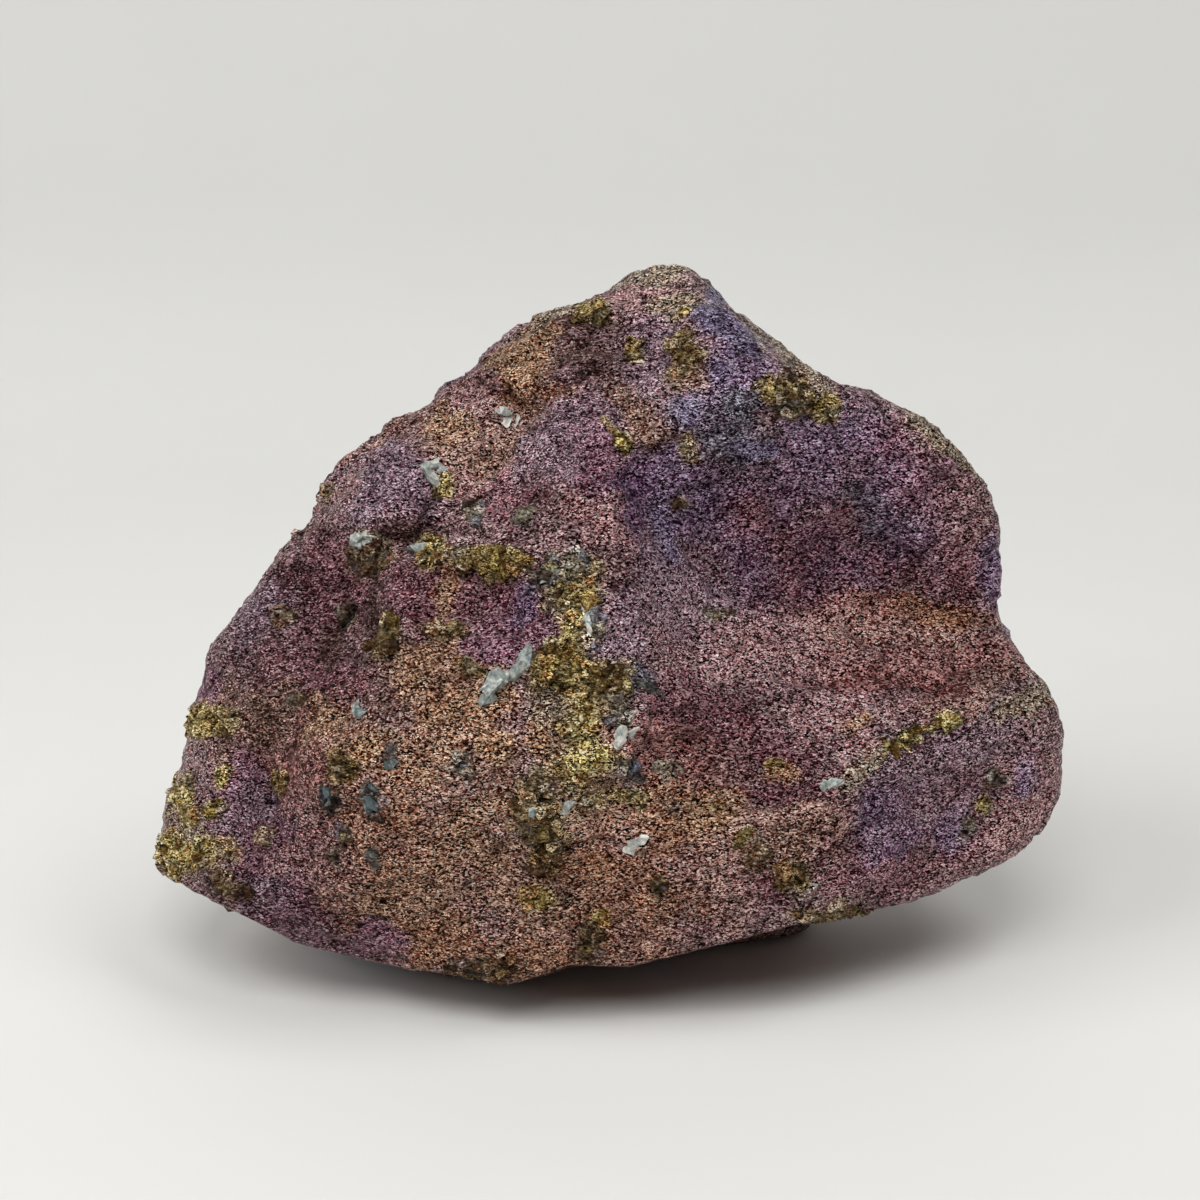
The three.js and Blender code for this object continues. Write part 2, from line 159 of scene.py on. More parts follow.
# Where each body colour lies: ovals of (across, up, half width, half height, turn in degrees).
PATCHES = {
    "dusk": [
        (14, 13, 12, 8, -20), (3, 17, 3, 4, 0), (20, 9, 12, 4, -8), (31, -21, 3.5, 5, 0), (34, 12, 7, 5, 0),
    ],
    "violet": [
        (26, 21, 8, 4.5, -32), (14, 29, 4, 5, -30), (42.3, 8, 1.4, 3, 0), (8, 16, 3, 4, 0),
        (38, -21, 2, 2, 0), (46, -15, 1.5, 2.5, 0), (-10, 4, 1.4, 2, 0),
    ],
    "mauve": [
        (5, 9, 2.5, 3, 0), (36, -14, 9, 6, 15), (-24, 16, 3.5, 3.5, 0), (-22, 18, 1.2, 2.5, 0),
        (-38.5, 3, 2.5, 4.5, -40), (-39, -27, 4, 1.8, -35), (-41, -19, 1.6, 5, 0), (2, 3, 1.5, 2, 0),
        (31, -20, 4, 4, 0),
    ],
    "blue": [
        (8.5, 26, 1.5, 1.6, 0), (12, 35, 3, 1.2, -40), (15, 33, 1.6, 1.6, 0), (12, 30, 2, 1.6, 0),
        (6, 13, 1, 2, 0), (16, 21, 2.4, 0.8, 0), (12, 38, 0.9, 0.9, 0), (7, 10, 1.4, 0.8, -30),
    ],
    "slate": [(13, 23.5, 5, 3, -30), (14, 26.5, 2.5, 1.6, 0), (3, -4, 1.6, 1.4, 0), (29, 14, 4, 2, 0)],
    "orchid": [
        (-5, 22, 4.6, 4.4, 0), (-2, 26, 2.6, 4, 60), (8, 3, 5.5, 4.5, -20), (4, 30, 3.4, 2, 0),
        (5, 34, 2.4, 1.8, 0), (11, 6, 3, 1.2, -45), (1, -1, 3, 1.6, 0),
    ],
    "magenta": [
        (33, 18, 6, 4, -30), (-33, -31, 8, 2.6, -22), (-26, -33, 4, 1.8, -15), (-42, -16, 2.4, 6, 0),
        (-11, 3, 4, 3, 0), (-1, 20, 2.5, 3, 0), (-38, -22, 2.4, 3, -45), (-13, -0.8, 2.6, 1.4, 0),
        (-44.5, -5, 1, 1.6, 0),
    ],
    "maroon": [
        (28, 7, 13, 3.6, -5), (22, 11, 10, 3, -12), (40, 8, 2.4, 4, 0), (-31, 7, 5.5, 4.5, 45),
        (-33, -4, 5, 3.4, 0), (15, -11, 9, 2.6, -25), (11, -9, 7, 2.6, -20), (26, -23, 4, 4.5, 0),
        (-12, 16.5, 4.4, 2.6, 0), (20, -17, 3.6, 1.8, 0), (38, -19, 6, 4.5, 0), (-20, 5, 5, 3.6, 0),
        (-13, 5.5, 3, 2, 0), (17, -27, 3, 2, 0), (32, -26.5, 4, 1.6, 15),
    ],
    # painted shadow under ledges, under the raised slab and in the recess
    "umber": [
        (-26.5, 3.5, 1, 5, 0), (-31.8, 0, 1.2, 2.6, 0), (-22, 12.2, 3, 0.9, 0), (-4.5, 35, 1.8, 0.7, 0),
        (-3, 31, 3, 1.6, 0),
    ],
    "rose": [
        (18, 0, 14, 4, 0), (-29, 20, 5, 2, 35), (-3, 14.5, 4.6, 2.6, -40), (38, 12.5, 4.5, 4, 0),
        (-33, -24, 6, 3.6, -20), (2, 38, 4, 1.4, 0), (43, -22, 5, 3, 20), (-16, 27, 3, 2.6, 0),
        (46.5, -17, 2.6, 6, 0),
    ],
    "pink": [(25, -8.5, 3.4, 2.4, 0), (32, -7, 2.4, 0.9, 30), (0.5, 15, 1.4, 1.4, 0), (28, -12, 1.6, 2, 0)],
    "salmon": [(31, 1, 9, 2.2, -4), (40, -6.2, 8, 1.3, 19), (13, -24.5, 5, 4, 0), (20, -19.4, 5, 0.8, 12)],
    "red": [
        (38, -3, 9, 2.6, 8), (-35, -13, 4.5, 5, -45), (28, 3.6, 6, 1.4, -5), (6, -12, 5, 3, -20),
        (28, -4, 5, 2, -10),
    ],
    "rust": [
        (33, 3.2, 8, 1.1, -4), (7, -20, 8, 5, 0), (2, -30, 9, 4, 0), (-9, 27.4, 4, 1.2, 0),
        (-3, -24, 4, 4, 0), (-19, -7, 2, 1, 40), (-27, -22, 6, 8, 0), (-6, -35, 13, 2.4, 0),
        (-19, -33, 5, 3, 0),
    ],
    "copper": [
        (-20, -4, 6, 3.6, 0), (-20, -13, 10, 6, 0), (-14, -23, 10, 9, 0), (-22, -28, 8, 6, 0),
        (-9.5, 30, 4, 3.6, 0), (-18, 24, 2, 2, 0), (-31, -10, 3, 3, 0), (10, -19, 4, 2.4, 0),
    ],
    "orange": [
        (-18.5, 5.4, 0.9, 2.8, -10), (-8, 33, 2, 1.4, 30), (-10, 30.5, 2.4, 1.6, 0), (-16, -8, 5, 1.6, 20),
        (19, -14.6, 1.6, 1, 0), (10, -20, 2.4, 1.6, 0), (-27, -12, 2.6, 1.2, 35), (-13, -12, 2, 1.4, 0),
        (27, -9.5, 1.6, 1, 20), (-7.5, -11, 1, 2, 0),
    ],
    "brown": [
        (3.5, 25.5, 5.4, 1.6, -38), (22, -22, 4, 2.6, 0), (-7, -14, 2, 4, 0), (-37, -8, 3, 4, 0),
        (9, 29, 2, 2, 0), (-15, 21, 5, 4.5, 0), (-42, -10, 3, 4, 0), (-2, -17, 3, 3, 0),
    ],
    "tan": [
        (5, 41, 6, 1.3, 0), (7, 37, 2.4, 1, 0), (-7, 35.4, 5, 0.7, 20), (46, -7, 3.2, 1.1, 20),
        (-46.5, -21.5, 1.4, 0.8, 0), (-27, 11.6, 1, 0.7, 0), (20, 31.4, 5, 0.7, -38), (36, 23, 5, 0.7, -42),
        (-6.5, -7.5, 2, 1.6, 0), (28, -14, 1.2, 2.6, -45),
    ],
    "gold": [
        (-4.5, -3.5, 3.6, 2.6, 0), (-2, -9, 3, 2.8, 0), (-3.4, -13.6, 3.8, 2.6, 0), (-3.6, 3, 1.8, 4, 8),
        (-12.5, 8.4, 2.6, 1.2, 0), (-20, 10, 1.3, 1.5, 0), (-7.8, -29, 1.7, 1.1, 0),
        (-1.2, -30.6, 0.8, 0.9, 0), (-44.4, -9, 2.6, 1.3, 0), (-43, -15, 0.8, 1, 0),
        (-47.4, -18, 1, 2.4, 0), (-44, -18.6, 1, 0.7, 0), (-47, -23.5, 2.4, 2, 0),
        (-43.5, -23.4, 2.6, 1.6, 0), (-18.4, 17, 1, 0.9, 0), (1, 22, 0.8, 1.4, 40),
        (16.8, 27.8, 1.3, 1.1, 0), (41.5, -18, 0.8, 0.8, 0), (37, -9.4, 1.4, 0.5, 20),
        (32, -11.4, 2, 0.5, 25), (11.8, -18.4, 1.1, 0.8, 0), (14.6, -21.6, 0.8, 0.8, 0),
        (-37, -15.6, 0.9, 1.2, 0), (24, 25.4, 1, 1.6, 0), (2.6, 32, 0.7, 1, 0), (-1.6, 36.4, 1.4, 0.7, 0),
        (8.2, 36.6, 0.8, 0.6, 0), (18.6, -14, 0.9, 0.7, 0),
    ],
    "olive": [
        (-16, 9, 3, 1.1, 0), (-4.5, 5.5, 2.2, 2.4, 0), (0.8, -4, 2, 2, 0), (-8, -18.5, 2.4, 2.4, 0),
        (-2, -17.4, 3, 1.3, 0), (-6.6, -23.4, 1.8, 3, 0), (-18.6, 1, 1.8, 1.2, 0), (-25, 0, 1.4, 1.8, 0),
        (-15, -3.2, 1.2, 1.2, 0), (20.6, 27, 3, 1.8, -40), (8, 31, 1.4, 2.6, 0), (-29.8, -14, 1.3, 1.3, 0),
        (24, -30, 3, 0.7, 8), (8.6, 21, 1, 1.6, 0), (20, -26, 1.6, 1.6, 0), (-42, -27, 2, 0.9, -30),
        (-38.4, -21.6, 0.9, 0.9, 0), (2.6, -17.6, 1.2, 0.8, 0), (-36.5, 2.8, 0.8, 0.8, 0),
        (8.4, 15, 1.2, 0.5, 0),
    ],
    "moss": [
        (-26.6, 9, 2.4, 1.6, 0), (-8.4, -20.5, 1.8, 2, 0), (-13.4, -36, 3.4, 1.2, 0),
        (-2.4, -33.4, 1.4, 1.8, 0), (5.6, -27.4, 0.8, 0.8, 0), (20, 25.8, 1.4, 1, 0),
        (-0.4, -6.6, 1.2, 0.8, 0), (-7.4, -15.4, 1.2, 1.2, 0), (-40, -28.5, 1.2, 0.8, 0),
        (16, -24, 1.4, 1.6, 0),
    ],
    "sage": [
        (12, 3, 1.2, 0.8, 0), (-15, 14.6, 0.9, 0.9, 0), (-10, 14, 1, 0.8, 0), (-7, 7.4, 1.2, 2, -30),
        (-2, 0.5, 0.8, 2.4, 10), (-3.6, 8.4, 1, 1.2, 0), (42.5, -15.4, 0.8, 0.8, 0), (-30, 3.6, 0.8, 1, 0),
        (-29.4, -21.6, 1, 0.7, 0), (-35, -6.6, 0.8, 1, 0), (-16.4, -13.6, 1, 0.9, 0), (7, -14.4, 1, 0.6, 0),
        (1.2, -8.6, 1, 1.2, 0), (-31, -24, 0.8, 0.9, 0), (39.8, -20.8, 0.7, 0.7, 0),
    ],
    "teal": [
        (-24, -12.8, 0.6, 1.0, -20), (-31, -17.6, 0.7, 1.2, 0), (-26.7, -17.6, 0.8, 1.7, 0),
        (2, -14.4, 1.2, 0.7, -30), (7, -18.6, 0.6, 0.6, 0), (-26, -24.2, 0.4, 0.9, 0),
        (4.6, -5.2, 0.7, 0.5, 0),
    ],
}
VEIN_BODIES = ("gold", "olive", "moss", "sage", "teal")

# Milky quartz: place, size, the way it points, and how grey it is.
QUARTZ = [
    ((-11.4, 24.8), (2.6, 1.5), 130, 0.1),
    ((-19.6, 18.8), (2.6, 1.8), 60, 0.3),
    ((-21.6, 10.2), (1.6, 1.8), 80, 0.5),
    ((-12.8, -5.2), (5.2, 1.3), 44, 0.5),
    ((-9.6, -2.4), (4.0, 1.0), 62, 0.45),
    ((1.6, -10.6), (2.8, 1.2), 60, 0.2),
    ((24.4, -15.8), (2.6, 1.1), 20, 0.45),
    ((2.6, -22.6), (2.2, 1.0), 30, 0.2),
    ((-6.2, 7.4), (2.6, 1.0), 30, 0.4),
    ((-2.6, 2.4), (3.0, 0.8), 100, 0.3),
    ((-28.0, -8.0), (2.2, 1.0), 100, 0.6),
    ((-26.8, -17.6), (2.8, 1.0), 95, 0.95),
    ((-31.0, -17.6), (2.2, 1.0), 80, 0.9),
    ((-24.0, -13.6), (1.7, 1.0), 60, 0.85),
    ((-5.0, -18.6), (1.8, 0.8), 20, 0.2),
    ((22.5, -27.0), (0.9, 0.7), 0, 0.0),
    ((-27.4, 11.2), (2.4, 1.3), 10, 0.35),
    ((-8.6, -19.4), (1.8, 0.7), 70, 0.5),
]

# Lines that give the front its broken edges: a path, how high the surface stands on its left and on its
# right, and how far that reaches on each side. Both sides low make a crease, both high a ridge.
EDGES = [
    (
        [(2, 21.5), (5, 15.8), (8, 12), (11.5, 7), (16, 4.3), (25, 3), (34, 2.4), (43, 1.8)],
        (-1.1, -1.1),
        (2.6, 2.6),
    ),
    ([(-1, 30), (4, 26.5), (9.5, 21.5)], (0.9, 0.7), (1.4, 1.8)),
    (
        [(-27, 12.0), (-25, 11.6), (-22, 12.2), (-21, 14), (-20.3, 16.6), (-22.2, 19.6), (-24, 22)],
        (1.3, -0.7),
        (5, 1.2),
    ),
    (
        [(-7.5, 24), (-9.4, 22), (-9.6, 18), (-6, 16.4), (-1, 17.6), (0.3, 22), (-0.6, 27)],
        (0.6, -0.4),
        (5, 1),
    ),
    ([(-17, 28.6), (-12, 28.2), (-8.4, 26), (-5.6, 27.4), (-3, 29.5), (0, 31)], (1.2, -0.6), (4, 1.3)),
    ([(-10, 34.6), (-3, 35), (3, 35.8), (6, 37.4)], (0.6, -0.5), (2, 1)),
    ([(-8, 31.6), (-2, 32.8), (4, 33), (8, 31.5)], (0.5, -0.5), (1.8, 1)),
    ([(24, -17.5), (30, -12.2), (37.7, -9.1), (44, -6.9), (49, -5.6)], (1.0, 0.3), (1.6, 1.0)),
    (
        [(23.5, -13), (21.5, -16.5), (18, -18.6), (12, -19.6), (6, -18), (2.5, -14), (2, -9)],
        (0.9, -0.8),
        (1.8, 2.4),
    ),
    ([(3, -7.6), (10, -7.4), (18, -7), (23, -8.2)], (0.5, -0.6), (2, 2)),
    ([(-9.5, -8), (-6.5, -4), (-5.6, 2), (-8.4, 7.5), (-12, 8)], (0.8, -0.4), (2.5, 1.5)),
    ([(-20.5, 8), (-15, 8), (-10.6, 7), (-10, 3), (-10.2, -0.6)], (0.5, -0.9), (1.5, 2)),
    ([(-26.4, 9), (-25.6, 5), (-26.6, 0.5), (-28.2, -3.4)], (0.3, -1.4), (2, 0.8)),
    ([(-41, -12), (-38.5, -17), (-36.6, -24)], (-0.6, 0.4), (2, 1.5)),
    ([(-31, -8), (-26, -3), (-20, 2)], (0.6, -0.3), (3, 2)),
    ([(-19, -10), (-14, -6), (-10, -2.4)], (0.7, -0.3), (2, 1.5)),
    ([(16, -27.4), (24, -23.4), (30, -18.4)], (0.5, -0.5), (2, 2)),
    ([(-24, -33), (-16, -27), (-9, -19)], (0.3, -0.3), (3, 3)),
]

# Painted light and shade, and partly the stone's own tone: parts of the front that are paler (above 1) or
# darker (below 1) than their finish, lit faces paler and shaded hollows and shadows under ledges darker:
# corners, factor and softness of the rim in mm.
PAINTED_LIGHT_SHADE_AND_TONE = [
    (
        [
            (1.5, 21.5), (9, 21.5), (22, 20.5), (34, 16.5), (42, 13), (43, 2.6), (30, 3), (18, 4.4),
            (12, 6.6), (8, 12),
        ],
        0.93,
        1.2,
    ),
    (
        [
            (3, 11), (7, 12), (12, 5), (20, 3), (42, 1), (43, -3), (30, -4.6), (12, -5.4), (4, -5), (2, 2),
        ],
        1.45,
        1.6,
    ),
    (
        [
            (2, -9), (2.5, -14), (6, -18), (12, -19.4), (18, -18.4), (21.4, -16), (22.6, -11), (18, -7.6),
            (8, -7.8),
        ],
        1.1,
        1.2,
    ),
    ([(-38, 4), (-34, 9), (-27, 10), (-25.2, 6), (-26.4, 0), (-29, -4), (-34, -5), (-38, -1)], 0.8, 1.5),
    ([(-19, 5), (-17, 8), (-11, 7), (-10.4, 1), (-14, 0.5), (-18, 2)], 1.12, 1.0),
    ([(30, -13.4), (35, -20), (29, -26), (19, -29), (16, -27), (24, -22)], 1.1, 1.5),
    ([(-25, -10), (-18, -7), (-9, -5), (-7, -8), (-9, -20), (-16, -22), (-27, -16)], 1.2, 3.0),
    ([(28, -13), (44, -7.6), (50, -8), (49, -19), (38, -21), (32, -16)], 1.18, 2.0),
    ([(24, -17.4), (31, -12), (45, -6.6), (45, -4.6), (30, -9.6), (23, -15)], 1.35, 0.8),
    ([(-22, 20), (-15, 28), (-10, 27), (-9, 20), (-12, 14), (-20, 15)], 2.15, 2.5),
    ([(1, 37), (5, 42), (9, 42), (11, 37), (6, 35.4)], 1.3, 1.5),
    ([(21, -12), (22, -5.6), (29, -5.6), (31, -8.4), (26, -12)], 1.3, 1.2),
    ([(-46, -24), (-37, -28), (-25, -30.5), (-22, -35), (-34, -34), (-46, -28)], 0.7, 2.0),
    ([(-27, 11), (-19.5, 12.4), (-19.8, 15.6), (-21.2, 15.4), (-22.6, 13.4), (-27, 12.6)], 0.5, 0.7),
    ([(-14, 29.4), (-8.6, 27.4), (-5, 28.4), (-1, 31), (-3, 29), (-8, 25.4), (-14, 27.4)], 0.5, 0.8),
    ([(-45, -5), (-31, -5), (-29, -33), (-45, -27)], 0.78, 2.5),
    ([(-7, -9), (2, -4), (9, -9), (9, -17), (2, -22), (-7, -22)], 1.5, 2.5),
    ([(15, -19), (48, -18.5), (44, -25), (28, -30), (16, -27)], 1.2, 2.0),
    ([(2, 27), (8, 22), (20, 21), (36, 16), (34, 23), (24, 29), (12, 29)], 1.3, 2.0),
    ([(24, 2), (42, 1), (44, -5), (34, -9), (24, -5)], 0.7, 2.0),
    ([(-28, 2), (-20, 4), (-14, -5), (-17, -9), (-28, -6)], 0.82, 2.0),
    ([(-2, 23), (2, 17), (20, 18), (24, 22), (12, 29)], 1.25, 2.0),
    ([(30, 19), (40, 17), (40, 11), (32, 12)], 1.25, 2.0),
    ([(-9, 12), (-3, 12), (1, 3), (3, -2), (-6, -2), (-6, 4)], 1.45, 1.5),
    ([(2, 1), (22, 0), (20, -7), (2, -7)], 1.15, 2.5),
    ([(-50, -6), (-41, -4), (-40, -14), (-42, -26), (-50, -26)], 1.45, 1.5),
    ([(-46, -6), (-38, -6), (-36, 3), (-33, 10), (-34, 14)], 0.75, 2.0),
    ([(-30, 9), (-14, 9), (-10, 15), (-20, 15), (-30, 13)], 1.42, 1.5),
    ([(9, -12), (23, -10), (23, -17), (9, -18)], 0.72, 2.0),
    ([(-19, 17), (-13, 17), (-12, 12), (-18, 12)], 0.75, 1.5),
    ([(1, 10), (4, 11), (4, 3), (0, 3)], 0.75, 1.0),
    ([(-12, -6), (-3, -6), (-3, -12), (-11, -12)], 0.85, 1.5),
    ([(-7, -13), (3, -12), (4, -21), (-6, -24)], 1.35, 2.0),
    ([(-17, 33), (-12, 32), (-14, 27), (-20, 26)], 0.75, 1.5),
    ([(-11, 34), (-3, 34.2), (5, 35.4), (5, 34.6), (-3, 33), (-10, 32.4)], 0.7, 0.8),
]

# Hollows (below zero) and swellings: across, up, half width, half height, turn, height in mm.
SWELLS = [
    (-31, 3, 4.6, 5, 20, -1.5), (-15, 4.4, 3.6, 3.0, 0, -1.2), (24, 9, 14, 4, -12, -0.6),
    (12, -13, 7.5, 4, -10, -1.1), (-16, -11, 7, 6, 0, 0.6), (-27, 16.4, 4, 3, 20, 0.6),
    (-5, 22, 4.6, 5, 0, 0.5), (26, -8, 4, 2.4, 0, 0.5),
]

# The sharp lower edge of the front, from the left tip to the right end.
LOWER_EDGE = [
    (-50.5, -24.2), (-49.4, -25.6), (-46.4, -27.7), (-39.9, -30.8), (-34.9, -33.5), (-28.8, -35.0),
    (-22.2, -36.5), (-17.2, -36.8), (-10.5, -38.0), (-4.4, -36.0), (2.2, -36.2), (11.1, -34.0), (22.2, -31.1),
    (29.9, -29.6), (35.5, -28.8), (46.6, -23.5), (50.5, -19.5),
]
EDGE_SWELL = 1.1  # mm that the front swells down to the edge, so that the edge stays sharp
EDGE_SWELL_REACH = 2.2  # mm above the edge


def directions(turn):
    """Two unit directions on the front: one turned by some degrees from across, and one square to it."""
    angle = math.radians(turn)
    run = np.array([math.cos(angle), math.sin(angle)])
    return run, np.array([-run[1], run[0]])


def oval(places, across, up, wide, high, turn):
    """How far out each place is in an oval, where 1 is its rim."""
    run, rise = directions(turn)
    rest = places - (across, up)
    return np.hypot(rest @ run / wide, rest @ rise / high)


def within(places, corners, softness):
    """1 inside an area given by its corners, 0 outside it, and a soft rim."""
    ring = [*corners, corners[0]]
    away, _, _ = to_path(places, ring)
    inside = np.zeros(len(places), bool)
    for (x0, y0), (x1, y1) in zip(ring[:-1], ring[1:]):
        crosses = (places[:, 1] < y0) != (places[:, 1] < y1)
        at = x0 + (places[:, 1] - y0) * (x1 - x0) / ((y1 - y0) or 1)
        inside ^= crosses & (places[:, 0] < at)
    return ease(-softness, softness, np.where(inside, away, -away))


def edge_level(places):
    """How far up the lower edge of the front is seen, above or below each place."""
    return np.interp(places[:, 0], *np.transpose(LOWER_EDGE))


# ---- the finishes at each place of the surface -----------------------------------------------------

FRONT_RIM = (-7, 1)  # mm out of the widest outline: behind it is the back's paint, before it the front's
SMALL_OVAL = 2.5  # mm: smaller ones keep their form, larger ones are broken up more
BACK_BODIES = ("violet", "magenta", "maroon", "rose", "copper", "rust", "orchid", "brown")


def paint_front(weights, local, flat, front):
    """Weighs the body colours of the front: the ovals, each with a broken rim, small ones over large ones."""
    loose = wobbled(local, wobbled(local, flat, 6, 2.6, 1), 2.2, 1.0, 2)
    tight = wobbled(local, flat, 2.2, 0.9, 3)
    for name, ovals in PATCHES.items():
        broken = np.exp(1.1 * noisy(local, 4.5, 20 + len(name), 2))
        for across, up, wide, high, turn in ovals:
            size = math.sqrt(wide * high)
            reach = oval(tight if size < SMALL_OVAL else loose, across, up, wide, high, turn)
            weight = (5 / size) ** 0.9 * np.exp(-0.9 * reach**2.6) * broken
            weights[name] = np.maximum(weights[name], front * weight)


def paint_back(weights, local, back):
    """Weighs the body colours of the back: clouds about 15 mm wide, and a few thin veins."""
    for i, name in enumerate(BACK_BODIES):
        weights[name] += back * np.exp(5 * noisy(local, 15, 30 + i, 3) - 1)
    seam = np.abs(noisy(local, 24, 6) + 0.12 * noisy(local, 5, 7))
    vein = back * (1 - ease(0.01, 0.06, seam)) * ease(-0.2, 0.3, noisy(local, 13, 5, 2))
    weights["gold"] += 12 * vein * ease(-0.1, 0.2, noisy(local, 3, 11))
    weights["olive"] += 9 * vein * ease(-0.2, 0.2, noisy(local, 4, 12))


def painted_light_shade_and_tone(local, flat, front):
    """How much paler or darker than its finish each place of the front is painted, for light and shade and
    partly tone.
    """
    edged = wobbled(local, flat, 2.2, 0.5, 14)
    shade = np.ones(len(local))
    for corners, factor, softness in PAINTED_LIGHT_SHADE_AND_TONE:
        shade *= factor ** (front * within(edged, corners, softness))
    return shade


def finishes(local):
    """The body colour at each place of the chunk's own frame, and the share there of the vein minerals."""
    flat = seen(local)
    front = ease(*FRONT_RIM, local[:, 2] + 2 * noisy(local, 5, 1))
    weights = {name: np.zeros(len(local)) for name in BODIES}
    paint_front(weights, local, flat, front)
    paint_back(weights, local, 1 - front)

    total = np.full(len(local), PLUM_WEIGHT)
    body = total[:, None] * np.array(PLUM)
    ore = np.zeros(len(local))
    for name, weight in weights.items():
        weight = weight**2
        total += weight
        body += weight[:, None] * np.array(BODIES[name])
        if name in VEIN_BODIES:
            ore += weight
    # painted light and shade on the front, partly the stone's own tone
    shade = painted_light_shade_and_tone(local, flat, front)
    return body * (shade / total)[:, None], ore / total


# ---- the relief of the surface ---------------------------------------------------------------------

BEDDING = (1, 1.5, 1)  # the chips are flatter than they are wide, across the chunk's layers
CHIP_SCATTER = 91.7  # spreads the chips' hearts over the random table
CHIP_SLOPE = 1.6
CHIP_REACH = 1.4  # the most that a chip stands up or down
CHIP_BEVEL = 0.12  # width of the blend between two chips, for their size
CRACK_WIDTH = 0.07  # of the crack between them
LINE_FADE = 0.12  # share of a broken edge's length over which it fades in, and out again
COARSE_SPOT = (-14, 20, 20, 14, 20)  # the oval on the upper left where the skin is coarsest
FOOT_CALM = (0.2, 3.0)  # mm above the foot, between which the relief fades in


def chip_height(place, heart):
    """How high the plane of the chip around a heart stands at a place."""
    turn = noise.cell_vector(heart * CHIP_SCATTER)
    slope = (place - heart).dot(turn * 2 - Vector((1, 1, 1)))
    return CHIP_REACH * math.tanh((turn.z * 2 - 1 + slope * CHIP_SLOPE) / CHIP_REACH)


def chips(points, size, seed):
    """Small fracture planes, about -1 to 1 high, and how close to a crack between two of them a place is."""
    heights = np.empty(len(points))
    cracks = np.empty(len(points))
    start = Vector((seed * 7.7, seed * 2.9, seed * 4.3))
    for i, place in enumerate(points / size):
        place = Vector(place) + start
        distances, hearts = noise.voronoi(place)
        gap = distances[1] - distances[0]
        share = 0.5 + 0.5 * min(gap / CHIP_BEVEL, 1)
        heights[i] = chip_height(place, hearts[0]) * share + chip_height(place, hearts[1]) * (1 - share)
        cracks[i] = math.exp(-((gap / CRACK_WIDTH) ** 2))
    return heights, cracks


def edges(flat):
    """Height of the broken edges at each place."""
    height = np.zeros(len(flat))
    for path, heights, reaches in EDGES:
        away, side, along = to_path(flat, path)
        ends = ease(0, LINE_FADE, along) * ease(0, LINE_FADE, 1 - along)
        left = heights[0] * np.exp(-away / reaches[0])
        right = heights[1] * np.exp(-away / reaches[1])
        height += ends * np.where(side > 0, left, right)
    return height


def relief(local, flat, front, brass):
    """How far the skin stands out at each place in mm, its small relief alone, and how close it is to a
    crack, for the painted shade there.
    """
    bedding = local * BEDDING
    large, large_cracks = chips(bedding, 6.5, 1)
    small, small_cracks = chips(bedding, 2.8, 2)
    fine, fine_cracks = chips(bedding, 1.4, 3)
    rough = 0.55 + 0.25 * noisy(local, 12, 8) + 0.6 * np.exp(-(oval(flat, *COARSE_SPOT) ** 2))
    height = rough * (0.5 * large - 0.35 * large_cracks)
    small_relief = rough * (0.22 * small - 0.2 * small_cracks + 0.13 * fine - 0.14 * fine_cracks)
    small_relief += 0.12 * noisy(bedding, 3.0, 9, 3)
    height += small_relief
    height += front * edges(flat)
    for *spot, swell in SWELLS:
        height += front * swell * np.exp(-0.8 * oval(flat, *spot) ** 2.5)
    height += brass * (0.15 + 0.45 * noisy(local, 1.9, 10, 2))
    # painted shade: how close each place is to a crack, to darken it
    crack_shade = np.clip(0.6 * large_cracks + 0.8 * small_cracks + 0.5 * fine_cracks, 0, 1)
    return height, small_relief, crack_shade


# ---- the chunk -------------------------------------------------------------------------------------

SMOOTHING = (4, 2)  # rounds of smoothing after each division of the faces
RAISED_LIGHT_SCALE = 2.5  # brings the small relief to about -1 to 1 for the painted light, which pales raised places and darkens low ones


def read_vectors(items, key):
    """A vector of each item, as rows of numbers."""
    values = np.empty(len(items) * 3, np.float32)
    items.foreach_get(key, values)
    return values.reshape(-1, 3).astype(float)


def paint_points(mesh, **layers):
    """Keeps a vector at each point of a mesh, under the name of each layer."""
    for name, values in layers.items():
        layer = mesh.attributes.new(name, "FLOAT_VECTOR", "POINT")
        layer.data.foreach_set("vector", values.astype(np.float32).ravel())


def carve(mesh):
    """Gives the mesh its relief and paints its finishes, painted light and shade included, as two attributes
    of its points.
    """
    place = read_vectors(mesh.vertices, "co") / MM
    normal = read_vectors(mesh.vertices, "normal")
    local = own(place)
    front = ease(-4, 4, local[:, 2])
    body, brass = finishes(local)
    flat = wobbled(local, seen(local), 3, 0.6, 4)
    height, small_relief, crack_shade = relief(local, flat, front, brass)

    above_edge = seen(local)[:, 1] - edge_level(seen(local))
    height += front * EDGE_SWELL * np.exp(-np.clip(above_edge, 0, 9) / EDGE_SWELL_REACH)
    calm = ease(*FOOT_CALM, place[:, 2])
    place += normal * (height * calm)[:, None]
    flat = seen(own(place))
    under = edge_level(flat) + 0.25 * noisy(local, 1.5, 13) - flat[:, 1]
    place += np.outer(np.clip(under, 0, None) * calm, UP)
    place[:, 2] = np.maximum(place[:, 2], 0)
    mesh.vertices.foreach_set("co", (place * MM).astype(np.float32).ravel())
    # the first part is the share of the vein, the second the painted shade of cracks, the third the painted
    # light of the relief
    paint_points(mesh, body=body, mineral=np.stack((brass, crack_shade, small_relief * RAISED_LIGHT_SCALE), axis=1))
    mesh.update()


def soften(shape, rounds):
    """Rounds off a shape, by moving its points halfway to the middle of their neighbours."""
    for _ in range(rounds):
        bmesh.ops.smooth_vert(
            shape, verts=shape.verts, factor=0.5, use_axis_x=True, use_axis_y=True, use_axis_z=True
        )


